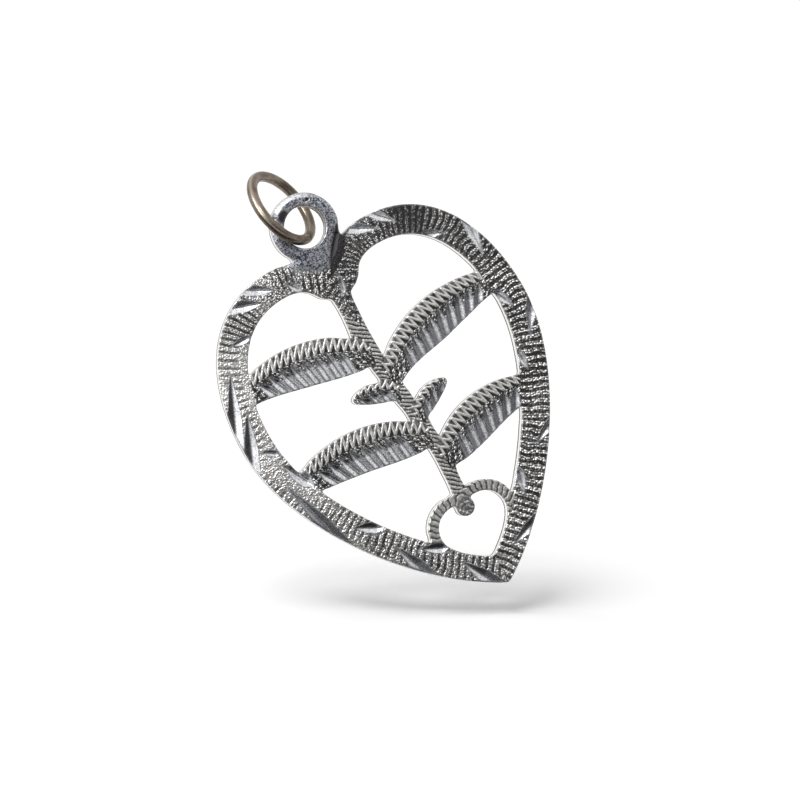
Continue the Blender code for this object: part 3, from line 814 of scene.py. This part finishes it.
def make_plate(material):
    co, tris = cad_mesh("heart_plate")
    low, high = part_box("heart_plate")
    bvh = BVHTree.FromPolygons([Vector(p) for p in co], tris.tolist())
    loops = [smooth_loop(loop, FINE * 1.1) for loop in rim_loops(co, tris)]
    loops = [loop + left_normals(loop) * INSIDE_BOX for loop in loops]
    eye = eye_middle(loops)
    stem_top = -LOBE_DROP - CLEFT_DEPTH - BAND_WIDTH + STEM_TOP
    stem_foot = -LOBE_DROP - HEART_HEIGHT + TIP_WALL + SMALL_HEIGHT - SMALL_CLEFT + SMALL_BAND / 2
    rims = Rims(loops)

    places, front_tris, outline_count = triangulated(loops, RIM_RINGS, FINE)
    cut, gap = cut_depths(places, front_tris, rims, bvh, low.y)
    front = front_relief(places, front_tris, cut, gap, eye, (stem_top, stem_foot))
    front_rows = np.column_stack([places[:, 0], low.y + front.depth, places[:, 1]])

    places, back_tris, back_count = triangulated(loops, RIM_RINGS, COARSE)
    dents = layered_noise(places[:, 0] / BACK_CELL, places[:, 1] / BACK_CELL, 51)
    back_depth = rim_rounding(rims.nearest(places)[1]) + BACK_DENTS * dents
    back_rows = np.column_stack([places[:, 0], high.y - back_depth, places[:, 1]])

    rims_seen = (front_rows[:outline_count], back_rows[:back_count])
    walls, wall_faces = make_walls(loops, *rims_seen, len(front_rows))
    back_start = len(front_rows) + len(walls)
    wall_faces = np.where(wall_faces < 0, back_start - 1 - wall_faces, wall_faces)
    faces = np.vstack([front_tris, wall_faces, back_tris[:, ::-1] + back_start])
    points = np.vstack([front_rows, walls, back_rows])
    plate = add_mesh("chased_plate", points.tolist(), faces.tolist(), material, smooth=True)

    on_walls, on_back = np.zeros(len(walls)), np.zeros(len(back_rows))
    looks = {
        "bright": (front.bright, np.repeat(WALL_TONES, outline_count), BACK_TONE + BACK_MOTTLE * dents),
        "polished": (front.polished, on_walls, on_back),
        "shaded": (front.shaded, on_walls, on_back),
        "satin": (front.satin, on_walls, on_back + BACK_SATIN),
        "edge": (smooth_step(*EDGE_SPAN, gap), on_walls, on_back),
    }
    for name, values in looks.items():
        add_attribute(plate, name, np.concatenate(values))
    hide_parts("heart_plate")
    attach(plate, "heart")


def make_walls(loops, front_rim, back_rim, first):
    """Rows of points down the sawn edge, and triangles that join them to both rims.

    A face names a point of the back rim by a negative number, -1 - its place there.
    """
    count = len(front_rim)
    wall_rows = len(WALL_TONES)
    shares = [row / (wall_rows + 1) for row in range(1, wall_rows + 1)]
    rows = [front_rim * (1 - share) + back_rim * share for share in shares]
    numbers = [np.arange(count)]
    numbers += [first + row * count + np.arange(count) for row in range(wall_rows)]
    numbers.append(-1 - np.arange(count))
    ahead = np.empty(count, int)
    start = 0
    for loop in loops:
        ahead[start : start + len(loop)] = start + (np.arange(len(loop)) + 1) % len(loop)
        start += len(loop)
    faces = []
    for near, far in zip(numbers, numbers[1:]):
        faces.append(np.column_stack([near[ahead], near, far]))
        faces.append(np.column_stack([near[ahead], far, far[ahead]]))
    return np.vstack(rows), np.vstack(faces)


def make_ring(material):
    """The jump ring: drawn wire bent round, with its ends butted at the seam."""
    normal = Vector(frame["joints"][0]["axis"]).normalized()
    down = Vector((0, 0, -1))
    lowest = (down - normal * down.dot(normal)).normalized()
    tangent = normal.cross(lowest)
    radius = (RING_BORE + WIRE) / 2
    half_gap = RING_SEAM / 2 / radius
    spans = np.linspace(half_gap, 2 * math.pi - half_gap, RING_STEPS + 1)
    end_step, end_thick = END_ROUNDING / radius, WIRE / 2 - END_ROUNDING
    rows = [(spans[0], end_thick), (spans[0] + end_step, WIRE / 2)]
    rows += [(angle, WIRE / 2) for angle in spans[2:-2]]
    rows += [(spans[-1] - end_step, WIRE / 2), (spans[-1], end_thick)]
    points, along, around, painted_light = [], [], [], []
    for angle, thick in rows:
        out = lowest * math.cos(angle) + tangent * math.sin(angle)
        for k in range(WIRE_SIDES):
            turn = 2 * math.pi * k / WIRE_SIDES
            points.append(out * (radius + thick * math.cos(turn)) + normal * thick * math.sin(turn))
            along.append(angle * radius / MM)
            around.append(turn * WIRE / 2 / MM)
            # Painted highlight: pale stripes along the wire where it turns toward the light
            off = [math.remainder(turn - at, 2 * math.pi) / RING_HIGHLIGHT_SPREAD for at in RING_HIGHLIGHT_TURNS]
            painted_light.append(max(share * math.exp(-(o**2)) for share, o in zip(RING_HIGHLIGHT_SHARES, off)))
    faces = []
    for i in range(len(rows) - 1):
        for k in range(WIRE_SIDES):
            a, b = i * WIRE_SIDES + k, i * WIRE_SIDES + (k + 1) % WIRE_SIDES
            faces.append((a, b, b + WIRE_SIDES, a + WIRE_SIDES))
    faces.append(tuple(range(WIRE_SIDES))[::-1])
    faces.append(tuple((len(rows) - 1) * WIRE_SIDES + k for k in range(WIRE_SIDES)))
    ring = add_mesh("wire_ring", [tuple(p) for p in points], faces, material, smooth=True)
    ring.data.set_sharp_from_angle(angle=math.radians(50))
    for name, values in (("along", along), ("around", around), ("painted_light", painted_light)):
        add_attribute(ring, name, values)
    ring.data.validate()
    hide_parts("jump_ring")
    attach(ring, "ring")


# Materials


class Nodes:
    """Short calls for building the nodes of a material or the world."""

    def __init__(self, owner, bare=False):
        owner.use_nodes = True
        self.owner, self.tree = owner, owner.node_tree
        if bare:
            self.tree.nodes.clear()
        else:
            self.shader = self.tree.nodes["Principled BSDF"]

    def add(self, kind, inputs=(), **settings):
        node = self.tree.nodes.new(kind)
        for key, value in settings.items():
            setattr(node, key, value)
        for key, value in dict(inputs).items():
            self.put(node.inputs[key], value)
        return node

    def put(self, socket, value):
        if isinstance(value, bpy.types.NodeSocket):
            self.tree.links.new(value, socket)
        else:
            socket.default_value = value

    def attribute(self, name):
        return self.add("ShaderNodeAttribute", attribute_name=name).outputs["Fac"]

    def math(self, operation, a, b):
        return self.add("ShaderNodeMath", {0: a, 1: b}, operation=operation).outputs[0]

    def times(self, a, b):
        return self.math("MULTIPLY", a, b)

    def mix(self, factor, a, b):
        """Between two colours."""
        inputs = {"Factor": factor, "A": a, "B": b}
        return self.add("ShaderNodeMix", inputs, data_type="RGBA").outputs["Result"]

    def blend(self, factor, a, b):
        """Between two numbers."""
        inputs = {"Factor": factor, "A": a, "B": b}
        return self.add("ShaderNodeMix", inputs, data_type="FLOAT").outputs["Result"]

    def noise(self, scale, detail):
        """Noise over the object, with scale in cells per millimetre."""
        place = self.add("ShaderNodeTexCoord").outputs["Object"]
        mapped = self.add("ShaderNodeMapping", {"Vector": place, "Scale": (scale / MM,) * 3}).outputs[0]
        return self.texture(mapped, detail)

    def texture(self, place, detail):
        inputs = {"Vector": place, "Scale": 1.0, "Detail": detail}
        return self.add("ShaderNodeTexNoise", inputs).outputs["Fac"]

    def ramp(self, value, low, high, least=0.0, most=1.0):
        inputs = {"Value": value, "From Min": low, "From Max": high, "To Min": least, "To Max": most}
        return self.add("ShaderNodeMapRange", inputs, interpolation_type="SMOOTHSTEP").outputs["Result"]

    def metal(self, colour, rough, height, distance, strength):
        """Finish the shader as metal of this colour, with a fine bump."""
        self.put(self.shader.inputs["Base Color"], colour)
        self.shader.inputs["Metallic"].default_value = 1.0
        self.put(self.shader.inputs["Roughness"], rough)
        bump = self.add("ShaderNodeBump", {"Height": height, "Distance": distance, "Strength": strength})
        self.put(self.shader.inputs["Normal"], bump.outputs["Normal"])
        return self.owner

    def seen_rays(self):
        """1 for camera, glossy and transmission rays, and 0 for the rest."""
        path = self.add("ShaderNodeLightPath").outputs
        either = self.math("MAXIMUM", path["Is Camera Ray"], path["Is Glossy Ray"])
        return self.math("MAXIMUM", either, path["Is Transmission Ray"])


def silver_material():
    """Darkened silver: bright on raised beads and cuts, with painted light and painted highlights in
    places; dark in the hollows, with painted shade in places.
    """
    n = Nodes(bpy.data.materials.new("chased_silver_finish"))
    polished, satin = n.attribute("polished"), n.attribute("satin")
    patches, speckle = n.noise(0.35, 3.0), n.noise(9.0, 3.0)
    raised = n.math("ADD", n.attribute("bright"), n.times(n.math("SUBTRACT", patches, 0.5), 0.35))
    raised = n.math("ADD", raised, n.times(n.math("SUBTRACT", speckle, 0.5), 0.30))
    level = n.ramp(raised, 0.04, 0.90)
    dark, silver = (0.045, 0.043, 0.045, 1), (0.93, 0.92, 0.90, 1)
    blue_dark, blue_grey = (0.06, 0.07, 0.10, 1), (0.54, 0.55, 0.59, 1)
    cut_grey, cut_white, cut_dark = (0.42, 0.44, 0.51, 1), (0.86, 0.86, 0.86, 1), (0.05, 0.052, 0.065, 1)
    warm_edge = (0.42, 0.40, 0.38, 1)
    satin_tone = n.mix(n.ramp(speckle, 0.39, 0.61), blue_dark, blue_grey)
    cut_tone = n.mix(n.ramp(speckle, 0.30, 0.62), cut_grey, cut_white)
    cut_tone = n.mix(n.times(n.attribute("shaded"), 0.75), cut_tone, cut_dark)
    colour = n.mix(satin, n.mix(level, dark, silver), satin_tone)
    # Cuts, and the eye's painted highlight, take the bright cut tone
    colour = n.mix(polished, colour, cut_tone)
    colour = n.mix(n.times(n.attribute("edge"), 0.4), colour, warm_edge)
    rough = n.blend(level, 0.55, 0.34)
    rough = n.blend(satin, rough, n.blend(speckle, 0.30, 0.46))
    rough = n.blend(polished, rough, 0.22)
    return n.metal(colour, rough, n.noise(22.0, 2.0), 0.006 * MM, 0.6)


def wire_material():
    """Drawn wire gone brown, with lines along it and painted highlight stripes in a paler metal tone."""
    n = Nodes(bpy.data.materials.new("tarnished_wire_finish"))
    stretched = {"X": n.times(n.attribute("along"), 0.6), "Y": n.times(n.attribute("around"), 14.0)}
    lines = n.texture(n.add("ShaderNodeCombineXYZ", stretched).outputs[0], 3.0)
    patches, mottle = n.noise(0.8, 4.0), n.noise(5.0, 3.0)
    brown, tan = (0.11, 0.085, 0.062, 1), (0.24, 0.195, 0.155, 1)
    dark_brown, painted_highlight_tone = (0.075, 0.055, 0.04, 1), (0.42, 0.365, 0.30, 1)
    colour = n.mix(n.ramp(patches, 0.35, 0.68), brown, tan)
    colour = n.mix(n.times(n.ramp(mottle, 0.5, 0.75), 0.4), colour, dark_brown)
    # The painted highlight stripes, in a paler metal tone
    colour = n.mix(n.attribute("painted_light"), colour, painted_highlight_tone)
    return n.metal(colour, n.blend(mottle, 0.22, 0.36), lines, 0.002 * MM, 0.5)


def floor_material():
    """White, lit by the lamps, with its own white added for what looks at it. One-sided."""
    n = Nodes(bpy.data.materials.new("white_floor"), bare=True)
    white = (FLOOR_WHITE, FLOOR_WHITE, FLOOR_WHITE, 1)
    lit = n.add("ShaderNodeBsdfDiffuse", {"Color": white}).outputs[0]
    glow = n.add("ShaderNodeEmission", {"Strength": n.times(n.seen_rays(), FLOOR_GLOW)}).outputs[0]
    both = n.add("ShaderNodeAddShader", {0: lit, 1: glow}).outputs[0]
    behind = n.add("ShaderNodeNewGeometry").outputs["Backfacing"]
    clear = n.add("ShaderNodeBsdfTransparent").outputs[0]
    one_sided = n.add("ShaderNodeMixShader", {0: behind, 1: both, 2: clear}).outputs[0]
    n.add("ShaderNodeOutputMaterial", {"Surface": one_sided})
    return n.owner


def tent_material():
    """Cloth that is darkest in the middle of the tent and white at its edge."""
    n = Nodes(bpy.data.materials.new("tent_cloth"), bare=True)
    place = n.add("ShaderNodeTexCoord").outputs["Object"]
    height = n.add("ShaderNodeSeparateXYZ", {0: place}).outputs["Z"]
    edge, core = (TENT_RADIUS * math.cos(angle) for angle in (TENT_SPREAD, TENT_CORE))
    glow = n.add("ShaderNodeEmission", {"Strength": n.ramp(height, edge, core, 1.0, TENT_DARK)}).outputs[0]
    n.add("ShaderNodeOutputMaterial", {"Surface": glow})
    return n.owner


def cloth_material():
    n = Nodes(bpy.data.materials.new("dark_cloth"))
    n.shader.inputs["Base Color"].default_value = (0.03, 0.03, 0.032, 1)
    n.shader.inputs["Roughness"].default_value = 0.9
    return n.owner


# The photograph's camera, floor and light


def view_axes():
    """Image right, image up and the direction to the camera."""
    level = Vector((math.cos(VIEW_SIDE), -math.sin(VIEW_SIDE), 0))
    back = Vector((
        -math.sin(VIEW_SIDE) * math.cos(VIEW_RISE),
        -math.cos(VIEW_SIDE) * math.cos(VIEW_RISE),
        math.sin(VIEW_RISE),
    ))
    upright = back.cross(level)
    right = level * math.cos(VIEW_ROLL) - upright * math.sin(VIEW_ROLL)
    up = level * math.sin(VIEW_ROLL) + upright * math.cos(VIEW_ROLL)
    return right, up, back


def eye_centre():
    middle = eye_middle(rim_loops(*cad_mesh("heart_plate")))
    low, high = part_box("heart_plate")
    return Vector((middle[0], (low.y + high.y) / 2, middle[1]))


def place_camera(target):
    right, up, back = view_axes()
    data = bpy.data.cameras.new("camera")
    data.sensor_width = SENSOR
    data.lens = SENSOR * VIEW_DISTANCE / (IMAGE_HEIGHT * MM_PER_PIXEL)
    data.clip_start, data.clip_end = 0.01, 10
    camera = bpy.data.objects.new("camera", data)
    axes = Matrix((right, up, back)).transposed()
    camera.matrix_world = Matrix.Translation(target + back * VIEW_DISTANCE) @ axes.to_4x4()
    bpy.context.scene.collection.objects.link(camera)
    bpy.context.scene.camera = camera


def add_card(name, centre, facing, along, size, material):
    """A flat stage card at centre, facing this way, with its width along another."""
    half, tall = size[0] / 2, size[1] / 2
    points = [(-half, -tall, 0), (half, -tall, 0), (half, tall, 0), (-half, tall, 0)]
    card = add_mesh(name, points, [(0, 1, 2, 3)], material)
    along = (along - facing * along.dot(facing)).normalized()
    axes = Matrix((along, facing.cross(along), facing)).transposed()
    card.matrix_world = Matrix.Translation(centre) @ axes.to_4x4()
    return card


def add_tent(centre, axis, material):
    """Part of a sphere round the front, as cloth hung there keeps silver from glaring."""
    rings, sides = 24, 64
    points, faces = [(0, 0, TENT_RADIUS)], []
    for i in range(1, rings + 1):
        fall = TENT_SPREAD * i / rings
        for k in range(sides):
            turn = 2 * math.pi * k / sides
            out = TENT_RADIUS * math.sin(fall)
            points.append((out * math.cos(turn), out * math.sin(turn), TENT_RADIUS * math.cos(fall)))
    for k in range(sides):
        ahead = (k + 1) % sides
        faces.append((0, 1 + k, 1 + ahead))
        for i in range(rings - 1):
            near, far = 1 + i * sides, 1 + (i + 1) * sides
            faces.append((near + k, far + k, far + ahead, near + ahead))
    tent = add_mesh("tent", points, faces, material)
    tent.matrix_world = Matrix.Translation(centre) @ axis.to_track_quat("Z", "Y").to_matrix().to_4x4()
    return tent


def only_reflected(card):
    """A card that metal mirrors, and that neither shows nor shades anything else."""
    card.visible_camera = False
    card.visible_diffuse = False
    card.visible_transmission = False
    card.visible_shadow = False


def add_light(name, kind, facing, **settings):
    """A light that shines away from this direction."""
    data = bpy.data.lights.new(name, kind)
    for key, value in settings.items():
        setattr(data, key, value)
    light = bpy.data.objects.new(name, data)
    light.rotation_mode = "QUATERNION"
    light.rotation_quaternion = facing.to_track_quat("Z", "Y")
    bpy.context.scene.collection.objects.link(light)
    return light


def set_world():
    world = bpy.data.worlds.new("studio")
    bpy.context.scene.world = world
    n = Nodes(world, bare=True)
    strength = n.ramp(n.seen_rays(), 0, 1, WORLD_LIGHT)
    white = n.add("ShaderNodeBackground", {"Color": (1, 1, 1, 1), "Strength": strength}).outputs[0]
    n.add("ShaderNodeOutputWorld", {"Surface": white})


def set_studio(eye):
    right, up, back = view_axes()

    def way(shares):
        return right * shares[0] + up * shares[1] + back * shares[2]

    middle = (IMAGE_WIDTH / 2 - EYE_PIXEL[0], EYE_PIXEL[1] - IMAGE_HEIGHT / 2)
    place_camera(eye + right * middle[0] * MM_PER_PIXEL + up * middle[1] * MM_PER_PIXEL)
    set_world()
    upright = way((FLOOR_FALL, math.cos(FLOOR_TILT), math.sin(FLOOR_TILT))).normalized()
    lowest = min(upright.dot(Vector(p)) for p in cad_mesh("heart_plate")[0])
    level = lowest - FLOOR_CLEARANCE
    add_card("floor", upright * level, upright, right, (FLOOR_SIZE, FLOOR_SIZE), floor_material())

    # The cloth lies on the floor from just in front of the sheet toward the camera
    beside = Vector((upright.z, 0, -upright.x)).normalized()
    forward = beside.cross(upright)
    below_heart = Vector((0, 0, level / upright.z))
    cloth_centre = below_heart + upright * CLOTH_LIFT + forward * (CLOTH_DEPTH / 2 + CLOTH_GAP)
    cloth_size = (CLOTH_WIDTH, CLOTH_DEPTH)
    only_reflected(add_card("floor_cloth", cloth_centre, upright, beside, cloth_size, cloth_material()))
    only_reflected(add_tent(HEART_MIDDLE, way(TENT_AXIS).normalized(), tent_material()))

    # Metal doesn't mirror the sun, and the lamps light nothing but metal
    sun = add_light("sun", "SUN", way(SUN_FROM), energy=SUN_STRENGTH, angle=SUN_SOFTNESS)
    sun.visible_glossy = False
    for name, at, (wide, tall), watts in (
        ("lamp_left", LEFT_AT, LEFT_SIZE, LEFT_WATTS),
        ("lamp_top", TOP_AT, TOP_SIZE, TOP_WATTS),
    ):
        lamp = add_light(name, "AREA", way(at), shape="RECTANGLE", size=wide, size_y=tall, energy=watts)
        lamp.location = HEART_MIDDLE + way(at)
        lamp.visible_diffuse = False
    bpy.context.scene.view_settings.view_transform = "Standard"


make_plate(silver_material())
make_ring(wire_material())
set_studio(eye_centre())
